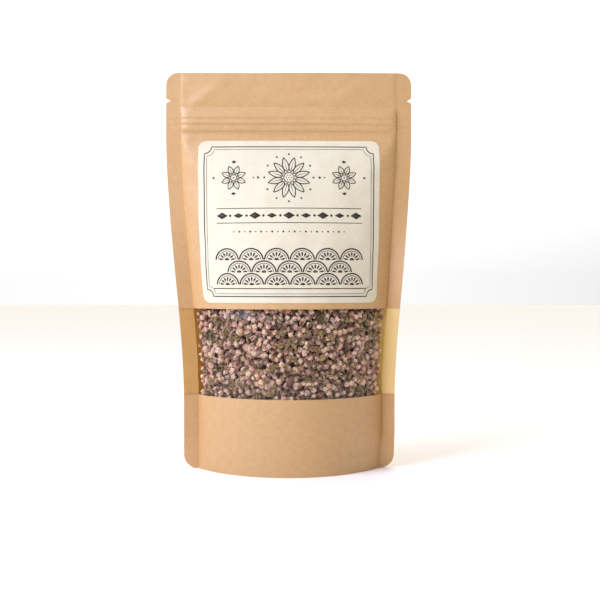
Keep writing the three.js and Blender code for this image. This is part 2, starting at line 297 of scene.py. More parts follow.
def record_flat(mesh):
    """Writes each point's place on the flat paper, across and up it, as the UV map web."""
    flat = mesh.uv_layers[0] if mesh.uv_layers else mesh.uv_layers.new()
    flat.name = "web"
    for loop in mesh.loops:
        place = mesh.vertices[loop.vertex_index].co
        flat.data[loop.index].uv = (place.x, place.z)


def bend_sheet(sheet, out, side):
    """Bends a flat sheet to the wall of the pouch, after its flat places are recorded."""
    record_flat(sheet.data)
    for vertex in sheet.data.vertices:
        vertex.co = wall(vertex.co.x, vertex.co.z, out, side)


def thicken(piece, thickness, offset, materials=(), face=0, rim=0):
    """Gives a sheet its thickness and materials; face and rim say which the new face and the edge take."""
    for material in materials:
        piece.data.materials.append(material)
    bpy.ops.object.select_all(action="DESELECT")
    bpy.context.view_layer.objects.active = piece
    piece.select_set(True)
    modifier = piece.modifiers.new("thickness", "SOLIDIFY")
    modifier.thickness = thickness
    modifier.offset = offset
    modifier.material_offset = face
    modifier.material_offset_rim = rim
    bpy.ops.object.modifier_apply(modifier=modifier.name)
    bpy.ops.object.shade_smooth_by_angle(angle=math.radians(40))


def hand_over(piece, slot, *nodes):
    """Rides the finished piece on the pouch and hides the nodes that it stands for. The slot, its finish's
    name, is not used.
    """
    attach(piece, "root")
    if nodes:
        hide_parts(*nodes)


def shade(code):
    """The linear colour of an sRGB hex code."""
    channels = [int(code[k:k + 2], 16) / 255 for k in (0, 2, 4)]
    return (*[c / 12.92 if c <= 0.04045 else ((c + 0.055) / 1.055) ** 2.4 for c in channels], 1)


def feed(node, inputs):
    """Sets a node's inputs, by name or place: each is a value or another node's output."""
    named = {socket.name: socket for socket in reversed(node.inputs) if socket.enabled}
    for key, value in inputs.items():
        socket = node.inputs[key] if isinstance(key, int) else named[key]
        if isinstance(value, bpy.types.NodeSocket):
            node.id_data.links.new(value, socket)
        else:
            socket.default_value = value


def add(tree, kind, inputs, stops=(), **settings):
    """Adds a node with its settings, colour stops and inputs, and gives back its first output."""
    node = tree.nodes.new("ShaderNode" + kind)
    for name, value in settings.items():
        setattr(node, name, value)
    for place, (position, colour) in enumerate(stops):
        elements = node.color_ramp.elements
        stop = elements[place] if place < 2 else elements.new(position)
        stop.position, stop.color = position, colour
    feed(node, inputs)
    return next(socket for socket in node.outputs if socket.enabled)


def new_material(name, roughness, ior=1.5):
    """A new material with its node tree and its surface node."""
    material = bpy.data.materials.new(name)
    material.use_nodes = True
    surface = material.node_tree.nodes["Principled BSDF"]
    feed(surface, {"Roughness": roughness, "IOR": ior})
    return material, material.node_tree, surface


def kraft(name, light, dark, roughness):
    """Unbleached kraft sack paper, machine made: cloudy pulp, curly fibres 0.1 mm wide and a few dark flecks.
    Its IOR is above that of plain paper, for the sheen of a glazed sheet."""
    material, tree, surface = new_material(name, roughness, ior=1.9)
    web = add(tree, "UVMap", {}, uv_map="web")
    cloud = add(tree, "TexNoise", {
        "Vector": web, "Scale": 1 / (3.5 * MM), "Detail": 6.0, "Roughness": 0.7,
    })
    paper = add(tree, "ValToRGB", {"Fac": cloud}, stops=((0.32, shade(dark)), (0.68, shade(light))))
    strands = []
    for size, seed in ((1.7 * MM, 0.0), (1.1 * MM, 0.3)):
        moved = add(tree, "VectorMath", {0: web, 1: (seed, seed, 0)}, operation="ADD")
        field = add(tree, "TexNoise", {
            "Vector": moved, "Scale": 1 / size, "Detail": 2.0, "Distortion": 0.6,
        })
        middle = add(tree, "Math", {0: field, 1: 0.5}, operation="SUBTRACT")
        away = add(tree, "Math", {0: middle}, operation="ABSOLUTE")
        strands.append(add(tree, "MapRange", {
            "Value": away, "From Min": 0.0, "From Max": 0.022, "To Min": 1.0, "To Max": 0.0,
        }))
    darker = add(tree, "Math", {0: strands[0], 1: 0.22}, operation="MULTIPLY")
    lighter = add(tree, "Math", {0: strands[1], 1: 0.2}, operation="MULTIPLY")
    speck = add(tree, "TexVoronoi", {"Vector": web, "Scale": 1 / (7 * MM)})
    fleck = add(tree, "MapRange", {
        "Value": speck, "From Min": 0.02, "From Max": 0.05, "To Min": 0.35, "To Max": 0.0,
    })
    # The hot jaws pressed the side seals a little yellower.
    across = add(tree, "SeparateXYZ", {"Vector": web})
    aside = add(tree, "Math", {0: across}, operation="ABSOLUTE")
    sealed = add(tree, "MapRange", {
        "Value": aside, "From Min": HALF_ARC - 0.3 * MM, "From Max": HALF_ARC + 0.3 * MM,
        "To Min": 0.0, "To Max": 0.25,
    })
    for factor, tone in ((darker, "8c5f38"), (lighter, "f0d2a6"), (fleck, "7a5230"), (sealed, "bb8c52")):
        paper = add(tree, "Mix", {"Factor": factor, "A": paper, "B": shade(tone)}, data_type="RGBA")
    grain = add(tree, "TexNoise", {"Vector": web, "Scale": 1 / (0.5 * MM), "Detail": 3.0})
    height = add(tree, "Math", {0: grain, 1: darker}, operation="ADD")
    bump = add(tree, "Bump", {"Height": height, "Strength": 0.35, "Distance": 0.05 * MM})
    feed(surface, {"Base Color": paper, "Normal": bump})
    return material


kraft_paper = kraft("kraft_paper", "c79b61", "bd9158", 0.55)
kraft_cut_edge = kraft("kraft_cut_edge", "d2b890", "c6aa82", 0.8)


def notch(sheet):
    """Cuts the two V notches by which the pouch is torn open."""
    for vertex in sheet.data.vertices:
        at_side = abs(abs(vertex.co.x) - WEB_WIDTH / 2) < 0.01 * MM
        if at_side and abs(vertex.co.z - NOTCH_HEIGHT) < 0.01 * MM:
            vertex.co.x -= math.copysign(NOTCH_DEPTH, vertex.co.x)


upper_paper = cut_sheet(
    "front_kraft_paper_upper", WEB_WIDTH / 2, WINDOW_HIGH, WEB_HEIGHT, TOP_CORNER, [WEB_HEIGHT])
notch(upper_paper)
bend_sheet(upper_paper, PAPER_INSIDE, -1)
thicken(upper_paper, PAPER, 1, [kraft_paper, kraft_cut_edge], rim=1)
hand_over(upper_paper, "kraft_paper", "front_kraft_upper")


# Front kraft paper, lower part
# The same laminated sack paper, from the foot of the pouch up to the window's bottom edge. It is sealed along
# both sides, and its two foot corners are cut round.
FOOT_CORNER = 7 * MM
lower_paper = cut_sheet("front_kraft_paper_lower", WEB_WIDTH / 2, 0, WINDOW_LOW, FOOT_CORNER, [0])
bend_sheet(lower_paper, PAPER_INSIDE, -1)
thicken(lower_paper, PAPER, 1, [kraft_paper, kraft_cut_edge], rim=1)
hand_over(lower_paper, "kraft_paper", "front_kraft_lower")


# Front film
# Clear cast polypropylene film, laminated to the whole inside of the front. It is the window where the paper
# is cut away, and there the flowers press it out.
FILM_INSIDE = 0.04 * MM
FILM = 0.06 * MM


def clear_film(name):
    """Cast polypropylene film: clear, with a soft gloss and a faint haze from handling. Its two faces reflect
    as one, so that its IOR is above polypropylene's own."""
    material, tree, surface = new_material(name, 0.24, ior=2.4)
    web = add(tree, "UVMap", {}, uv_map="web")
    dents = add(tree, "TexNoise", {"Vector": web, "Scale": 1 / (7 * MM), "Detail": 2.0})
    bump = add(tree, "Bump", {"Height": dents, "Strength": 0.5, "Distance": 0.8 * MM})
    feed(surface, {"Base Color": shade("1e1b18"), "Alpha": 0.06, "Normal": bump})
    return material


film = cut_sheet("front_window_film", WEB_WIDTH / 2, 0, WEB_HEIGHT, TOP_CORNER, [0, WEB_HEIGHT])
notch(film)
bend_sheet(film, FILM_INSIDE, -1)
thicken(film, FILM, 1, [clear_film("clear_film")])
hand_over(film, "clear_film", "front_film")


# Back panel
# One piece of sack paper with clear film laminated to its inside. The film makes the inner face yellow and
# glossy and lets light through the paper, which shows in the side seals beside the window. More light on the
# right seal, and less on the left, is painted into the liner.
back_panel = cut_sheet("back_kraft_panel", WEB_WIDTH / 2, 0, WEB_HEIGHT, TOP_CORNER, [0, WEB_HEIGHT])
notch(back_panel)
bend_sheet(back_panel, FILM_INSIDE, 1)
lined_paper = kraft("kraft_paper_lined", "d9aa5a", "cd9d4e", 0.5)
lined_surface = lined_paper.node_tree.nodes["Principled BSDF"]
# Painted light: the liner is painted darker at the left seal and paler towards the right seal, for the light
# on the right seal beside the window.
lined_tree = lined_paper.node_tree
lined_web = add(lined_tree, "UVMap", {}, uv_map="web")
liner_across = add(lined_tree, "SeparateXYZ", {"Vector": lined_web})
painted_light_share = add(lined_tree, "MapRange", {
    "Value": liner_across, "From Min": -HALF_ARC, "From Max": HALF_ARC, "To Min": 0.0, "To Max": 1.0,
})
liner = add(lined_tree, "ValToRGB", {"Fac": painted_light_share}, stops=(
    (0.0, shade("a3812f")), (1.0, shade("ffdfad")),
))
plain_liner = lined_surface.inputs["Base Color"].links[0].from_socket
# Half of the liner's colour is this painted light.
liner_with_painted_light = add(lined_tree, "Mix", {"Factor": 0.5, "A": plain_liner, "B": liner}, data_type="RGBA")
feed(lined_surface, {
    "Base Color": liner_with_painted_light,
    "Subsurface Weight": 0.9, "Subsurface Radius": (1, 0.9, 0.7), "Subsurface Scale": 0.8 * MM,
})
thicken(back_panel, PAPER, -1, [lined_paper, kraft_paper, kraft_cut_edge], face=1, rim=2)
hand_over(back_panel, "kraft_paper", "back_panel")


# Bottom gusset
# A folded web of sack paper. It is sealed to both walls along a curved line, lies on the shelf in the middle
# and rises to its crease, and its two leaves close between the side seals.
GUSSET_SEAL = 6 * MM  # height of the foot seal in the middle
CREASE_HEIGHT = 8 * MM  # how high the fold stands in the middle
FLOOR_HALF = 26 * MM  # half of the width that lies flat
DROP = 0.72  # where the leaf meets the shelf and where it leaves it, as shares of the way out to the wall
LEAVE = 0.3
WEB_THICK = 0.2 * MM
WEB_INSIDE = WEB_THICK / 2 + 0.02 * MM


def gusset_section(u, side):
    """The gusset's line at a place across the web: from the foot up to the foot seal and in to the fold."""
    foot = wall(u, 0, -WEB_INSIDE, side)
    across = min(abs(foot.x) / (half_width(0) - SEAL), 1)
    seal = GUSSET_SEAL + (GUSSET - 2 * MM - GUSSET_SEAL) * across ** 4
    fold = CREASE_HEIGHT + (GUSSET - 0.5 * MM - CREASE_HEIGHT) * across ** 3
    past = max(abs(foot.x) - FLOOR_HALF, 0) / (half_width(0) - SEAL - FLOOR_HALF)
    steep = min(past, 1) ** 2.2
    sag = WEB_THICK + (GUSSET - 1.8 * MM) * steep
    return [(1, 0), (1, 0.5 * seal), (1, seal), (DROP, sag), (LEAVE, sag + 0.5 * MM * steep), (0.0, fold)]


def gusset_point(u, run, side):
    """A point of the gusset: run goes from 0 at the foot to 1 at the fold."""
    line = gusset_section(u, side)
    place = run * (len(line) - 1)
    k = min(int(place), len(line) - 2)
    share = place - k
    depth = line[k][0] + (line[k + 1][0] - line[k][0]) * share
    eased = {2: 1 - (1 - share) ** 2, 4: share ** 2}.get(k, share)
    height = line[k][1] + (line[k + 1][1] - line[k][1]) * eased
    edge = wall(u, min(height, GUSSET), -WEB_INSIDE, side)
    leaf = (SEAM_HALF_FOOT - WEB_INSIDE) * side + wave(u, height)
    return Vector((edge.x, leaf + (edge.y - leaf) * depth, height))


gusset = cut_sheet(
    "folded_bottom_gusset", WEB_WIDTH / 2 - 0.1 * MM, -GUSSET, GUSSET, FOOT_CORNER, [-GUSSET, GUSSET],
    rows=spaced(-GUSSET, GUSSET, 1.6 * MM))
record_flat(gusset.data)
for vertex in gusset.data.vertices:
    u, v = vertex.co.x, vertex.co.z
    vertex.co = gusset_point(u, 1 - abs(v) / GUSSET, 1 if v > 0 else -1)
thicken(gusset, WEB_THICK, 0, [kraft_paper, kraft_cut_edge], rim=1)
hand_over(gusset, "kraft_paper", "bottom_gusset")


# Zip strips
# Two strips of extruded polyethylene, one with a groove and one with a rib, welded by their flanges inside
# the front and the back wall below the mouth. The rib is pressed into the groove.
ZIP_HALF = 55 * MM
ZIP_MIDDLE = (ZIP_LOW + ZIP_HIGH) / 2
FLANGE = 5.4
FLANGE_SKIN = 0.16
RAIL = 1.3
# Low-density polyethylene, extruded: milky and cloudy, with a waxy gloss.
zip_plastic, zip_tree, zip_surface = new_material("zip_polyethylene", 0.35, ior=1.51)
zip_place = add(zip_tree, "TexCoord", {}).node.outputs["Object"]
zip_milk = add(zip_tree, "TexNoise", {"Vector": zip_place, "Scale": 1 / (3 * MM), "Detail": 3.0})
zip_tone = add(zip_tree, "ValToRGB", {"Fac": zip_milk}, stops=(
    (0.3, shade("ded6c6")), (0.7, shade("efe9dc")),
))
feed(zip_surface, {"Base Color": zip_tone})


def face_outwards():
    """Closes the current piece's seams and makes all its faces point outwards."""
    bpy.ops.object.mode_set(mode="EDIT")
    bpy.ops.mesh.select_all(action="SELECT")
    bpy.ops.mesh.remove_doubles(threshold=0.0001 * MM)
    bpy.ops.mesh.normals_make_consistent(inside=False)
    bpy.ops.object.mode_set(mode="OBJECT")


def zip_strip(name, section, side):
    """Extrudes a section across the pouch. A point is a height in millimetres from the zip's middle and a
    share of the way from the wall to the plane between the walls, past which the rails interlock."""
    strip = begin(
        bpy.ops.mesh.primitive_circle_add, name + "_moulded", vertices=len(section), fill_type="NGON",
        calc_uvs=False)
    for vertex, (height, share) in zip(strip.data.vertices, section):
        vertex.co = (-ZIP_HALF, share * MM, ZIP_MIDDLE + height * MM)
    bpy.ops.object.mode_set(mode="EDIT")
    bpy.ops.mesh.select_all(action="SELECT")
    bpy.ops.mesh.extrude_region_move(TRANSFORM_OT_translate={"value": (2 * ZIP_HALF, 0, 0)})
    score([x for x in COLUMNS if abs(x) < ZIP_HALF], [z for z in ROWS if ZIP_LOW < z < ZIP_HIGH])
    bpy.ops.object.mode_set(mode="OBJECT")
    for vertex in strip.data.vertices:
        skin = wall(vertex.co.x, vertex.co.z, -0.02 * MM, side)
        middle = wave(vertex.co.x, vertex.co.z)
        vertex.co = Vector((skin.x, middle + (skin.y - middle) * (1 - vertex.co.y / MM), skin.z))
    face_outwards()
    bpy.ops.object.shade_smooth_by_angle(angle=math.radians(30))
    strip.data.materials.append(zip_plastic)
    hand_over(strip, "zip_plastic", name)


groove_half = [
    (0.65, FLANGE_SKIN), (0.65, 1.05), (0.45, 1.05), (0.45, RAIL), (1, RAIL), (1, FLANGE_SKIN),
    (FLANGE, FLANGE_SKIN), (FLANGE, 0.03),
]
rib_half = [
    (FLANGE, 0.03), (FLANGE, FLANGE_SKIN), (0.3, FLANGE_SKIN), (0.3, 1), (0.55, 1), (0.2, RAIL),
]
zip_strip("zip_groove_strip", [(-height, share) for height, share in reversed(groove_half)] + groove_half, -1)
zip_strip("zip_rib_strip", rib_half + [(-height, share) for height, share in reversed(rib_half)], 1)


# Label
# Self-adhesive uncoated cream paper, die cut with rounded corners and stuck to the upper paper, so that it
# bends with the wall.
LABEL_HALF = 47.5 * MM
LABEL_LOW = 88.5 * MM
LABEL_HIGH = 173.6 * MM
LABEL_CORNER = 4 * MM
LABEL_INSIDE = PAPER_INSIDE + PAPER + 0.03 * MM
LABEL_PAPER = 0.12 * MM


def cream_paper(name):
    """Uncoated wood-free paper, calendered: warm white, matt, with a fine soft tooth."""
    material, tree, surface = new_material(name, 0.72)
    web = add(tree, "UVMap", {}, uv_map="web")
    cloud = add(tree, "TexNoise", {"Vector": web, "Scale": 1 / (6 * MM), "Detail": 5.0})
    tone = add(tree, "ValToRGB", {"Fac": cloud}, stops=(
        (0.3, shade("d7ceb4")), (0.7, shade("ddd5bc")),
    ))
    tooth = add(tree, "TexNoise", {"Vector": web, "Scale": 1 / (0.3 * MM), "Detail": 2.0})
    bump = add(tree, "Bump", {"Height": tooth, "Strength": 0.2, "Distance": 0.03 * MM})
    feed(surface, {"Base Color": tone, "Normal": bump})
    return material


label = cut_sheet("cream_label", LABEL_HALF, LABEL_LOW, LABEL_HIGH, LABEL_CORNER, [LABEL_LOW, LABEL_HIGH])
bend_sheet(label, LABEL_INSIDE, -1)
thicken(label, LABEL_PAPER, 1, [cream_paper("cream_label_paper")])
hand_over(label, "label_paper", "label")


# Label print
# One colour of black ink, letterpress printed on the label before it was cut: rosettes, diamonds between
# rules, a row of dots and rows of fans, in a double frame. The strokes are round rods, pressed almost flat.
INK_OUT = LABEL_INSIDE + LABEL_PAPER + 0.05 * MM
INK_FLATTENING = 0.05

drawing = begin(bpy.ops.curve.primitive_nurbs_path_add, "label_print")
drawing.data.splines.clear()
drawing.data.bevel_depth = MM
drawing.data.bevel_resolution = 0
drawing.data.use_fill_caps = True


def ink(points, widths, closed=False):
    """Draws one stroke through points in millimetres; a width for each of them tapers it."""
    spline = drawing.data.splines.new("POLY")
    spline.points.add(len(points) - 1)
    spline.use_cyclic_u = closed
    for k, (u, z) in enumerate(points):
        spline.points[k].co = (u * MM, 0, z * MM, 1)
        spline.points[k].radius = (widths if isinstance(widths, float) else widths[k]) / 2


def off(middle, distance, bearing):
    """The point at a distance and a bearing in degrees from another."""
    angle = math.radians(bearing)
    return middle[0] + distance * math.cos(angle), middle[1] + distance * math.sin(angle)


def arc(middle, radius, start, end, count):
    """Points along an arc between two bearings."""
    return [off(middle, radius, start + (end - start) * k / count) for k in range(count + 1)]


def bead(u, z, size):
    """A round dot: a short stroke that swells and closes again."""
    steps = [-1, -0.8, -0.4, 0, 0.4, 0.8, 1]
    ink([(u + size / 2 * k, z) for k in steps], [max(size * math.sqrt(1 - k * k), 0.02) for k in steps])


def diamond(u, z, wide, tall):
    """A filled diamond: a stroke that swells to its height and closes again."""
    ink([(u - wide / 2, z), (u, z), (u + wide / 2, z)], [0.02, float(tall), 0.02])


def petal(middle, bearing, near, far, plump, width):
    """A pointed petal in outline with its vein."""
    ray = (math.cos(math.radians(bearing)), math.sin(math.radians(bearing)))
    for hand in (-1, 1):
        side = []
        for k in range(9):
            share = k / 8
            along = near + (far - near) * share
            aside = hand * plump * math.sin(math.pi * share ** 0.8) ** 0.9
            side.append((
                middle[0] + ray[0] * along - ray[1] * aside, middle[1] + ray[1] * along + ray[0] * aside,
            ))
        ink(side, width)
    vein = [off(middle, near + (far - near) * share, bearing) for share in (0.1, 0.4, 0.75)]
    ink(vein, [0.35, 0.25, 0.05])


def frame_line(half, low, high, corner, width):
    """A rounded frame whose corners are bitten in."""
    corners = ((half, high, 270, 180), (-half, high, 360, 270), (-half, low, 90, 0), (half, low, 180, 90))
    points = []
    for u, z, start, end in corners:
        bite = arc((u, z), corner, start, end, 6)
        if points:
            last, first = points[-1], bite[0]
            count = max(int(math.dist(last, first) / 2), 1)
            points += [
                (last[0] + (first[0] - last[0]) * k / count, last[1] + (first[1] - last[1]) * k / count)
                for k in range(1, count)
            ]
        points += bite
    last, first = points[-1], points[0]
    points += [(last[0], last[1] + (first[1] - last[1]) * k / 30) for k in range(1, 30)]
    ink(points, width, closed=True)


frame_line(44.2, 91.8, 170.3, 3.6, 0.5)
frame_line(42.8, 93.2, 168.9, 3.6, 0.22)

ROSE_HEIGHT = 153.6
SMALL_ROSE = 28.5
DIAMOND_HEIGHT = 133.6
DIAMOND_STEP = 8.6
RULE_HEIGHTS = (137.4, 129.8)
DOT_HEIGHT = 125.2
FAN_HEIGHT = 97.6
FAN = 6.4
FOOT_RULE_HEIGHT = 95.9

ROSE = (0, ROSE_HEIGHT)
for k in range(12):
    petal(ROSE, 15 + 30 * k, 3.2, 11.0, 1.55, 0.5)
    bead(*off(ROSE, 12.6, 30 * k), 1.0)
ink(arc(ROSE, 2.6, 0, 345, 23), 0.45, closed=True)
for k in range(6):
    bead(*off(ROSE, 1.35, 60 * k), 0.6)
bead(*ROSE, 0.6)
for hand in (-1, 1):
    small = (SMALL_ROSE * hand, ROSE_HEIGHT)
    for k in range(8):
        petal(small, 22.5 + 45 * k, 2.0, 6.6, 1.3, 0.45)
    ink(arc(small, 1.6, 0, 330, 11), 0.4, closed=True)
    bead(*small, 0.8)
    for place, size in ((15.8, 1.2), (18.2, 0.8), (39.0, 1.1)):
        bead(place * hand, ROSE_HEIGHT, size)
    for height in (162.0, 145.2):
        diamond(SMALL_ROSE * hand, height, 2.6, 1.6)

for k in range(-4, 5):
    diamond(DIAMOND_STEP * k, DIAMOND_HEIGHT, 5.2 if k % 2 else 6.0, 2.6 if k % 2 else 3.6)
for k in range(-4, 4):
    bead(DIAMOND_STEP * (k + 0.5), DIAMOND_HEIGHT, 1.3)
for height in RULE_HEIGHTS:
    ink([(2.5 * k, height) for k in range(-15, 16)], 0.35)
for k in range(-10, 11):
    bead(2.8 * k, DOT_HEIGHT, 1.0 if k % 2 else 0.65)

for row, count in enumerate((6, 5, 6)):
    for k in range(count):
        middle = ((k - (count - 1) / 2) * 2 * FAN, FAN_HEIGHT + row * FAN)
        ink(arc(middle, FAN - 0.35, 4, 176, 18), 0.7)
        ink(arc(middle, FAN - 1.5, 6, 174, 16), 0.3)
        for ray in range(7):
            rib = [off(middle, reach, 12 + 26 * ray) for reach in (1.9, 2.4, 3.4, 4.1, 4.4)]
            ink(rib, [0.1, 0.5, 0.95, 0.6, 0.1])
        for radius, width in ((0.42, 0.56), (1.05, 0.58)):
            ink(arc(middle, radius, 10, 170, 8), width)
ink([(2.5 * k, FOOT_RULE_HEIGHT) for k in range(-16, 17)], 0.45)

bpy.ops.object.convert(target="MESH")
record_flat(drawing.data)
for vertex in drawing.data.vertices:
    vertex.co = wall(vertex.co.x, vertex.co.z, INK_OUT + INK_FLATTENING * vertex.co.y, -1)
face_outwards()
# Black oil ink, printed: matt, and a little thin where the paper's tooth kept it off.
ink_black, ink_tree, ink_surface = new_material("letterpress_ink", 0.5)
ink_web = add(ink_tree, "UVMap", {}, uv_map="web")
ink_wear = add(ink_tree, "TexNoise", {"Vector": ink_web, "Scale": 1 / (0.5 * MM), "Detail": 3.0})
ink_tone = add(ink_tree, "ValToRGB", {"Fac": ink_wear}, stops=(
    (0.5, shade("24201d")), (0.75, shade("4a433b")),
))
feed(ink_surface, {"Base Color": ink_tone})
drawing.data.materials.clear()
drawing.data.materials.append(ink_black)
hand_over(drawing, "label_paper")


# Dried heather, the bed
# The mass of dried flowers deep inside the pouch, poured in loose. It is one dark lumpy body here, behind the
# loose flowers that show in the window, and it rests on the gusset's fold. Its dark brown is painted shade,
# for the flowers that lie in the shade deep in the pouch.
BED_HALF = 47 * MM
BED_TOP = 150 * MM
BED_DEPTH = 6.5 * MM  # how far it stays behind the walls, and how far at its very top
BED_DEPTH_TOP = 0.6 * MM
BED_LUMP = 0.9 * MM
BED_LUMP_WIDTH = 2.2 * MM

bed = begin(bpy.ops.mesh.primitive_cube_add, "heather_bed", size=2, calc_uvs=False)
bpy.ops.object.mode_set(mode="EDIT")
bpy.ops.mesh.select_all(action="SELECT")
bpy.ops.mesh.subdivide(number_cuts=55)
bpy.ops.object.mode_set(mode="OBJECT")
for vertex in bed.data.vertices:
    u = vertex.co.x * BED_HALF
    side = 1 if vertex.co.y > 0 else -1
    low = CREASE_HEIGHT + 4 * MM + (GUSSET - CREASE_HEIGHT) * abs(vertex.co.x) ** 3
    z = low + (BED_TOP - low) * (vertex.co.z + 1) / 2
    depth = BED_DEPTH * rise(BED_TOP, BED_TOP - 40 * MM, z) + BED_DEPTH_TOP
    skin = wall(u, z, 0, side)
    room = abs(skin.y)
    lump = BED_LUMP * (1 + ripple(u, z, BED_LUMP_WIDTH, BED_LUMP_WIDTH, side + 20 + vertex.co.y))
    y = side * max(room - depth - lump, 0.35 * room) * abs(vertex.co.y)
    vertex.co = Vector((skin.x, y, z))


def dried_heather(name, tones, pale, dark):
    """Dried ling, air dried: matt, papery and faded. Each piece has its own tone, and is paler at its tip."""
    material, tree, surface = new_material(name, 0.8)
    place = add(tree, "TexCoord", {}).node.outputs["Object"]
    tint = add(tree, "Attribute", {}, attribute_name="tint").node.outputs["Fac"]
    stops = [(k / (len(tones) - 1), shade(tone)) for k, tone in enumerate(tones)]
    colour = add(tree, "ValToRGB", {"Fac": tint}, stops=stops)
    tip = add(tree, "Attribute", {}, attribute_name="tip").node.outputs["Fac"]
    blot = add(tree, "TexNoise", {"Vector": place, "Scale": 1 / (0.9 * MM), "Detail": 4.0})
    shadow = add(tree, "MapRange", {
        "Value": blot, "From Min": 0.5, "From Max": 0.75, "To Max": 0.75,
    })
    foot = add(tree, "Attribute", {}, attribute_name="foot").node.outputs["Fac"]
    for factor, tone in ((tip, pale), (shadow, dark), (foot, dark)):
        colour = add(tree, "Mix", {"Factor": factor, "A": colour, "B": shade(tone)}, data_type="RGBA")
    # The papery wrinkles are 0.35 mm across, and finer ones would not show.
    crinkle = add(tree, "TexNoise", {"Vector": place, "Scale": 1 / (0.35 * MM), "Detail": 2.0})
    bump = add(tree, "Bump", {"Height": crinkle, "Strength": 0.6, "Distance": 0.12 * MM})
    feed(surface, {"Base Color": colour, "Normal": bump})
    return material


# Painted shade: the bed takes near-black browns for the shaded flowers deep in the pouch.
bed.data.materials.append(dried_heather("dried_heather_painted_shade", ("2e1608", "3a1e0e"), "3a1e0e", "160802"))
bpy.ops.object.shade_smooth()
hand_over(bed, "dried_heather", "heather_fill")


# Dried heather, the loose flowers
# Ling picked and air dried: closed buds about 3 mm long in four papery sepals, opened florets, scale-leaved
# twig ends, bare stem bits and chaff. They lie tightly against the film, as they settled in the pouch.
draw = random.Random(11)


def keep_shape(piece, foot, tip=lambda place: 0):
    """Takes a modelled piece off the scene and keeps its points, its faces and each point's dark and pale."""
    mesh = piece.data
    points = [vertex.co.copy() for vertex in mesh.vertices]
    faces = [tuple(polygon.vertices) for polygon in mesh.polygons]
    shades = [(min(max(foot(point), 0), 1), min(max(tip(point), 0), 1)) for point in points]
    bpy.data.objects.remove(piece)
    return points, faces, shades


def bud_shape(length, gape, twist, seed):
    """A closed bud of four sepals that overlap one way round, crumpled in drying; its foot points down."""
    bud = begin(bpy.ops.mesh.primitive_uv_sphere_add, "bud", segments=12, ring_count=5, calc_uvs=False)
    for vertex in bud.data.vertices:
        x, y, z = vertex.co
        reach = math.hypot(x, y)
        bearing = math.atan2(y, x)
        lap = round(bearing / (math.pi / 6)) % 3
        sepal = round(bearing / (math.pi / 6)) // 3 % 4
        crumple = noise.noise(vertex.co * 1.6 + Vector((seed, 0, 0)))
        if reach > 0.01:
            reach *= (1.08, 1.0, 0.84)[lap] * (1 + gape * rise(0, 0.8, z)) * (1 - 0.2 * rise(0, -0.8, z))
            reach *= 1 + 0.3 * crumple
            tip = rise(0, 0.8, z)
            height = z * length * (1 - 0.12 * lap * tip) + 0.12 * math.sin(2.3 * sepal + seed) * tip
        else:
            height = length * (0.86 - 1.2 * gape if z > 0 else -1.08)
        bearing += twist * z
        vertex.co = (reach * math.cos(bearing), reach * math.sin(bearing), height)

    def dark(point):
        throat = 2 * gape if point.z > 0 and point.xy.length < 0.05 else 0
        return rise(-0.35 * length, -length, point.z) + throat

    return keep_shape(bud, dark, lambda point: 0.8 * rise(0, 0.8 * length, point.z))


def floret_shape(spread):
    """An opened flower, dried: a cup with four pointed lobes around a dark throat."""
    floret = begin(bpy.ops.mesh.primitive_uv_sphere_add, "floret", segments=16, ring_count=5, calc_uvs=False)
    for vertex in floret.data.vertices:
        x, y, z = vertex.co
        reach = math.hypot(x, y)
        bearing = math.atan2(y, x)
        lobe = 1 + 0.35 * math.cos(4 * bearing) * rise(-0.3, 0.5, z)
        if reach < 0.01:
            height = -0.25 if z > 0 else -1.1
        else:
            height = z * (1 + 0.3 * spread)
        reach *= lobe * (0.8 + spread * rise(-0.6, 0.4, z))
        vertex.co = (reach * math.cos(bearing), reach * math.sin(bearing), height)
    return keep_shape(
        floret,
        lambda point: 0.9 if abs(point.z + 0.25) < 0.01 else 0.8 * rise(-0.4, -1, point.z),
        lambda point: 0.7 * rise(0, 0.9, point.z),
    )


def twig_shape(leaves):
    """The end of a leafy twig: a thin stem with short scale leaves in four ranks, 6 to 6.5 units long."""
    twig = begin(
        bpy.ops.mesh.primitive_cylinder_add, "twig", vertices=5, radius=0.22, depth=6, calc_uvs=False)
    scales = [twig]
    for k in range(leaves):
        bearing = (k % 2) * math.pi / 2 + (k // 2 % 2) * math.pi + 0.25 * k
        place = (0.5 * math.cos(bearing), 0.5 * math.sin(bearing), -2.1 + 5.4 * k / leaves)
        bpy.ops.mesh.primitive_uv_sphere_add(
            segments=4, ring_count=4, radius=1, calc_uvs=False, location=place, scale=(0.2, 0.36, 0.95),
            rotation=(0, math.radians(30), bearing))
        scales.append(bpy.context.object)
    for scale in scales:
        scale.select_set(True)
    bpy.context.view_layer.objects.active = twig
    bpy.ops.object.join()
    bpy.ops.object.transform_apply(location=True, rotation=True, scale=True)
    return keep_shape(twig, lambda point: 0.7 * rise(0.5, 0.15, point.xy.length))


def stem_shape(bow, knots):
    """A bare bit of stem, ten units long, a little bowed, with thicker leaf scars."""
    stem = begin(
        bpy.ops.mesh.primitive_cylinder_add, "stem", vertices=6, radius=0.32, depth=10, calc_uvs=False)
    bpy.ops.object.mode_set(mode="EDIT")
    score([], spaced(-5, 5, 1.1))
    bpy.ops.object.mode_set(mode="OBJECT")
    for vertex in stem.data.vertices:
        x, y, z = vertex.co
        thick = 1 + 0.4 * max(math.sin(z * knots), 0) ** 4
        vertex.co = (x * thick + bow * (1 - (z / 5) ** 2), y * thick + 0.2 * math.sin(z * 0.9), z)
    return keep_shape(stem, lambda point: 0.5 * max(math.sin(point.z * knots), 0) ** 4)


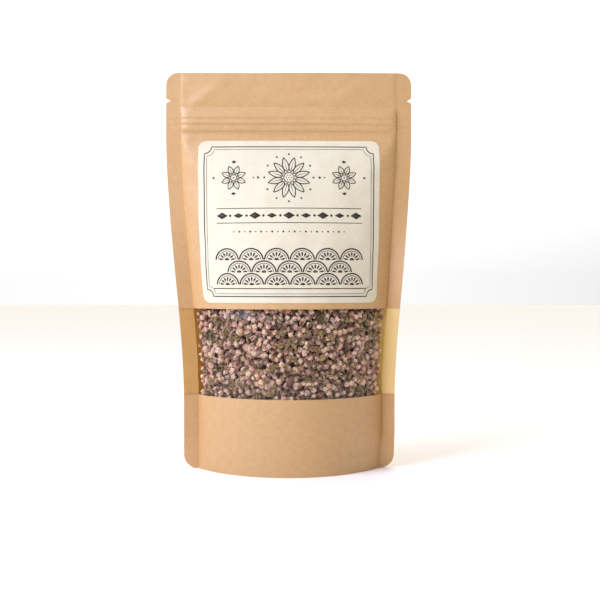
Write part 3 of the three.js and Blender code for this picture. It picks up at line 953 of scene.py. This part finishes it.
def flake_shape(cup, broad=0.6):
    """A curled papery flake: a loose sepal or a bract. One unit is half of its length."""
    flake = begin(
        bpy.ops.mesh.primitive_grid_add, "flake", x_subdivisions=2, y_subdivisions=4, size=2, calc_uvs=False)
    for vertex in flake.data.vertices:
        x, y, _ = vertex.co
        width = broad * (1 - 0.8 * y * y) + 0.08
        ragged = 0.2 * noise.noise(Vector((3 * x, 3 * y, 10 * cup)))
        vertex.co = (x * width + ragged, y, cup * (x * x * 0.5 + y * y * 0.45) + ragged)
    thicken(flake, 0.14, 0)
    return keep_shape(
        flake, lambda point: 0.6 * rise(-0.3, -1, point.y), lambda point: 0.6 * rise(0.2, 1, point.y))


# The flowers fill a slab behind the film. It reaches past the window's edges by a margin, and is deeper
# beside the seals, where a slanting look through the window goes deepest.
WINDOW_MARGIN = 7 * MM
SLAB = 7.5 * MM
SLAB_AT_SEALS = 14.5 * MM
FLOWERS_LEFT = -54.9
FLOWERS_RIGHT = 53.6
FLOWERS_HALF = 54 * MM
CLUMP = 8 * MM
SNUG = 0.86  # how near two round pieces come, as a share of their radii: they are not quite round
CELL = 4 * MM
placed = {}


def room_behind(u, z):
    """How far the back wall is behind the film."""
    angle = arc_angle(z)
    return 2 * HALF_ARC / angle * (math.cos(u / HALF_ARC * angle) - math.cos(angle))


def keep_place(u, z, depth, radius):
    """Notes the room that a round piece takes, in a grid of cells."""
    placed.setdefault((int(u // CELL), int(z // CELL)), []).append((u, z, depth, radius))


def settle(u, z, radius, start, snug):
    """The least depth behind the film at which a round piece clears the others, or None if it has no room."""
    column, row = int(u // CELL), int(z // CELL)
    near = [ball for i in (-1, 0, 1) for j in (-1, 0, 1) for ball in placed.get((column + i, row + j), ())]
    depth = radius + start
    for _ in range(30):
        needed = depth
        for other_u, other_z, other_depth, other_radius in near:
            reach = (radius + other_radius) * snug
            spare = reach * reach - (u - other_u) ** 2 - (z - other_z) ** 2
            if spare > 0 and abs(depth - other_depth) < math.sqrt(spare) - 1e-6:
                needed = max(needed, other_depth + math.sqrt(spare))
        if needed == depth:
            slab = SLAB + (SLAB_AT_SEALS - SLAB) * rise(44 * MM, 49 * MM, abs(u))
            return depth if depth < slab and depth + 0.9 * radius < room_behind(u, z) else None
        depth = needed
    return None


def strew(name, shapes, pieces, tones, pale, dark, smooth=True):
    """One object of many loose pieces: each a shape, a place behind the film, a turn, a size and a tint."""
    points, faces, feet, tips, tints = [], [], [], [], []
    for shape, (u, z, depth), turn, size, tint in pieces:
        shape_points, shape_faces, shades = shapes[shape]
        faces += [[len(points) + k for k in face] for face in shape_faces]
        for point in shape_points:
            across, up, out = turn @ (size * point)
            points.append(wall(u + across, z + up, -max(depth - out, 0.06 * MM), -1))
        feet += [foot for foot, _ in shades]
        tips += [tip for _, tip in shades]
        tints += [tint] * len(shape_points)
    mesh = bpy.data.meshes.new(name)
    mesh.from_pydata(points, [], faces)
    for attribute, values in (("foot", feet), ("tip", tips), ("tint", tints)):
        mesh.attributes.new(attribute, "FLOAT", "POINT").data.foreach_set("value", values)
    mesh.polygons.foreach_set("use_smooth", [smooth] * len(mesh.polygons))
    mesh.materials.append(dried_heather(name + "_dried", tones, pale, dark))
    piece = bpy.data.objects.new(name, mesh)
    bpy.context.scene.collection.objects.link(piece)
    hand_over(piece, "dried_heather")


def any_turn():
    """A turn about any axis, of a piece that dried a little flatter or longer than its fellows."""
    axis = Vector([draw.gauss(0, 1) for _ in range(3)]).normalized()
    dried = Matrix.Diagonal((draw.uniform(0.78, 1.05), 1, draw.uniform(0.88, 1.22)))
    return Matrix.Rotation(draw.uniform(0, 2 * math.pi), 3, axis) @ dried


def spot():
    """A place in the window, or just above or below it; the flowers leave the folds at the seals empty."""
    across = draw.uniform(FLOWERS_LEFT, FLOWERS_RIGHT) * MM
    return across, draw.uniform(WINDOW_LOW - WINDOW_MARGIN, WINDOW_HIGH + WINDOW_MARGIN)


def clump(u, z):
    """Like pieces lie in clumps: the value swings about nought."""
    return noise.noise(Vector((u / CLUMP, z / CLUMP, 3.1)))


def lay_long(count, shortest, longest, thickness, depths, tilt):
    """Lays long pieces along the film and keeps the room that they take, as a row of small balls."""
    pieces = []
    while len(pieces) < count:
        u, z = spot()
        if clump(u, z) < draw.uniform(-0.5, 0.25):
            continue
        length = draw.uniform(shortest, longest) * MM
        depth = draw.uniform(*depths) * MM
        spin = Matrix.Rotation(draw.uniform(0, 2 * math.pi), 3, "Z")
        lie = Matrix.Rotation(math.pi / 2 + draw.uniform(-tilt, tilt), 3, "X")
        roll = Matrix.Rotation(draw.uniform(0, 2 * math.pi), 3, "Z")
        turn = spin @ lie @ roll
        run = turn @ Vector((0, 0, 1))
        tint = draw.random()
        if abs(u) + length / 2 > FLOWERS_HALF or depth + 2 * thickness > room_behind(u, z):
            continue
        balls = max(int(length / (1.2 * MM)), 2)
        for k in range(balls + 1):
            along = length * (k / balls - 0.5)
            keep_place(u + run.x * along, z + run.y * along, max(depth - run.z * along, thickness), thickness)
        pieces.append(((u, z, depth), turn, length, tint))
    return pieces


stem_pieces = [
    (draw.randrange(3), place, turn, length / 10, tint)
    for place, turn, length, tint in lay_long(
        46, shortest=5, longest=14, thickness=0.4 * MM, depths=(0.45, 1.9), tilt=0.12)
]
twig_pieces = [
    (draw.randrange(2), place, turn, length / 6.5, tint)
    for place, turn, length, tint in lay_long(
        60, shortest=3.5, longest=7.5, thickness=0.8 * MM, depths=(0.9, 2.6), tilt=0.3)
]
husk_pieces = [
    (draw.randrange(3), place, turn @ Matrix.Rotation(math.pi / 2, 3, "X"), length / 2, tint)
    for place, turn, length, tint in lay_long(
        210, shortest=1.6, longest=3.8, thickness=0.45 * MM, depths=(0.4, 2.0), tilt=0.6)
]

# Flowers are dropped in until they find no more room, the last of them beside the seals, where it is thin.
FLOWER_TRIES = 15000
TRIES_BEFORE_SEALS = 12000
BUD_SHARE = 0.9
FLAKE_TRIES = 900
bud_pieces, floret_pieces, flake_pieces = [], [], []
for k in range(FLOWER_TRIES):
    u, z = spot()
    radius = draw.triangular(1.1, 2.5, 1.7) * MM
    start = (draw.triangular(0, 2.0, 0) + 2.2 * max(clump(u, z), 0)) * MM
    if k >= TRIES_BEFORE_SEALS:
        u = math.copysign(draw.uniform(44, 55.3) * MM, u)
        room = room_behind(u, z)
        radius = min(radius, 0.45 * room)
        start *= (room - 1.9 * radius) / (2 * MM)
    depth = settle(u, z, radius, start, SNUG)
    if depth is not None:
        keep_place(u, z, depth, radius)
        if draw.random() < BUD_SHARE:
            tint = min(max(draw.random() + 0.7 * clump(z, u), 0), 1)
            bud_pieces.append((draw.randrange(6), (u, z, depth), any_turn(), radius * 0.95, tint))
        else:
            floret_pieces.append((draw.randrange(2), (u, z, depth), any_turn(), radius * 0.9, draw.random()))
for _ in range(FLAKE_TRIES):
    u, z = spot()
    depth = settle(u, z, 0.45 * MM, 0.2 * MM, 0.8)
    if depth is not None and 0.9 * MM < depth < 4 * MM:
        keep_place(u, z, depth, 0.35 * MM)
        shape, turn = draw.randrange(3), any_turn()
        flake_pieces.append((shape, (u, z, depth), turn, draw.uniform(0.6, 1.3) * MM, draw.random()))

# The buds are two pieces only to keep each one's mesh small. Colours: pink, mauve and cream for the flowers,
# dull green for the leaves, brown for the stems and straw for the chaff and the husks.
half = len(bud_pieces) // 2
bud_shapes = [bud_shape(length, gape, twist, seed) for length, gape, twist, seed in (
    (1.15, 0.0, 0.5, 1), (1.3, 0.12, -0.4, 2), (1.0, 0.25, 0.7, 3),
    (1.35, 0.05, 0.2, 4), (1.2, 0.16, 0.4, 5), (1.1, 0.02, -0.6, 6),
)]
BUD_TONES = ("f1bf9f", "dba591", "b98076", "f5cba4", "aa736d", "d9a279", "e8b499", "8b5a4f")
strew("heather_buds_first", bud_shapes, bud_pieces[:half], BUD_TONES, "fce2c4", "3e1c0a", smooth=False)
strew("heather_buds_second", bud_shapes, bud_pieces[half:], BUD_TONES, "fce2c4", "3e1c0a", smooth=False)
strew("heather_florets", [floret_shape(0.2), floret_shape(0.4)], floret_pieces,
      ("b38182", "c99c91", "91696d", "d1ad94"), "eecfb3", "4c2a1a", smooth=False)
strew("heather_twigs", [twig_shape(12), twig_shape(9)], twig_pieces,
      ("7a7040", "8a774a", "66603a", "9a8452", "735c3e"), "a89462", "38301e")
strew("heather_stems", [stem_shape(0.5, 2.2), stem_shape(-0.3, 1.7), stem_shape(0.9, 2.9)], stem_pieces,
      ("8a6a4c", "a3835e", "6e5340", "b7976a"), "b7976a", "4a3526")
strew("heather_chaff", [flake_shape(0.5), flake_shape(0.9), flake_shape(-0.6)], flake_pieces,
      ("c0a074", "a08258", "86743f", "cdb094", "ad8672"), "dcc4a0", "54402c")
strew("heather_husks", [flake_shape(0.9, 0.45), flake_shape(1.3, 0.35), flake_shape(-1.0, 0.4)], husk_pieces,
      ("a98d4a", "8a7038", "bb9f60", "7a6430", "9c7c4a", "c4a66a"), "cdb078", "43300f")


# Setting
# A plain floor painted a warm white, a pale surround that is brightest behind and above the pouch, and one
# large cool softbox at the upper left of its front.
FLOOR_SIZE = 6
FLOOR_GAP = 0.05 * MM

floor = begin(
    bpy.ops.mesh.primitive_plane_add, "studio_floor", size=FLOOR_SIZE, location=(0, 0, -FLOOR_GAP))
floor_paint, _, floor_surface = new_material("white_studio_floor", 0.9)
feed(floor_surface, {"Base Color": shade("fcf6ee")})
floor.data.materials.append(floor_paint)

# How bright the surround is: all round, and what is added behind, above, high behind and, warmer, in front.
ALL_ROUND = 0.14
BEHIND = 0.88
ABOVE = 0.7
HIGH_BEHIND = 1.7
IN_FRONT = 0.1
RIGHT_SHADE = 0.3  # the share that is taken off at the far right

surround = bpy.data.worlds.new("pale_surround")
bpy.context.scene.world = surround
surround.use_nodes = True
sky = surround.node_tree
looking = add(sky, "TexCoord", {})
way = add(sky, "SeparateXYZ", {"Vector": looking}).node.outputs
to_front = add(sky, "Math", {0: way["Y"], 1: -1.0}, operation="MULTIPLY")
right, back, up, front = [
    add(sky, "Math", {0: share, 1: 0.0}, operation="MAXIMUM")
    for share in (way["X"], way["Y"], way["Z"], to_front)
]
high_back = add(sky, "Math", {0: back, 1: up}, operation="MULTIPLY")
glow = ALL_ROUND
for share, strength in ((back, BEHIND), (up, ABOVE), (high_back, HIGH_BEHIND)):
    glow = add(sky, "Math", {0: share, 1: strength, 2: glow}, operation="MULTIPLY_ADD")
front_glow = add(sky, "Math", {0: front, 1: IN_FRONT}, operation="MULTIPLY")
warm = add(sky, "VectorMath", {0: shade("ffe0c4")[:3], "Scale": front_glow}, operation="SCALE")
light = add(sky, "VectorMath", {0: warm, 1: glow}, operation="ADD")
dimmer = add(sky, "Math", {0: right, 1: -RIGHT_SHADE, 2: 1.0}, operation="MULTIPLY_ADD")
light = add(sky, "VectorMath", {0: light, "Scale": dimmer}, operation="SCALE")
feed(sky.nodes["Background"], {"Color": light})
bpy.context.scene.view_settings.view_transform = "Standard"

# The softbox is half a metre wide and hangs 0.8 m from the pouch, 55 degrees to the left and 38 degrees up.
KEY_PLACE = Vector((-0.516, -0.361, 0.593))
KEY_AIM = Vector((0, 0, 0.1))
KEY_SIZE = 0.5
KEY_WATTS = 8.1

key_turn = (KEY_AIM - KEY_PLACE).to_track_quat("-Z", "Y").to_euler()
key_light = begin(bpy.ops.object.light_add, "key_light", type="AREA", location=KEY_PLACE, rotation=key_turn)
key_light.data.shape = "SQUARE"
key_light.data.size = KEY_SIZE
key_light.data.energy = KEY_WATTS
key_light.data.color = shade("dce2ff")[:3]
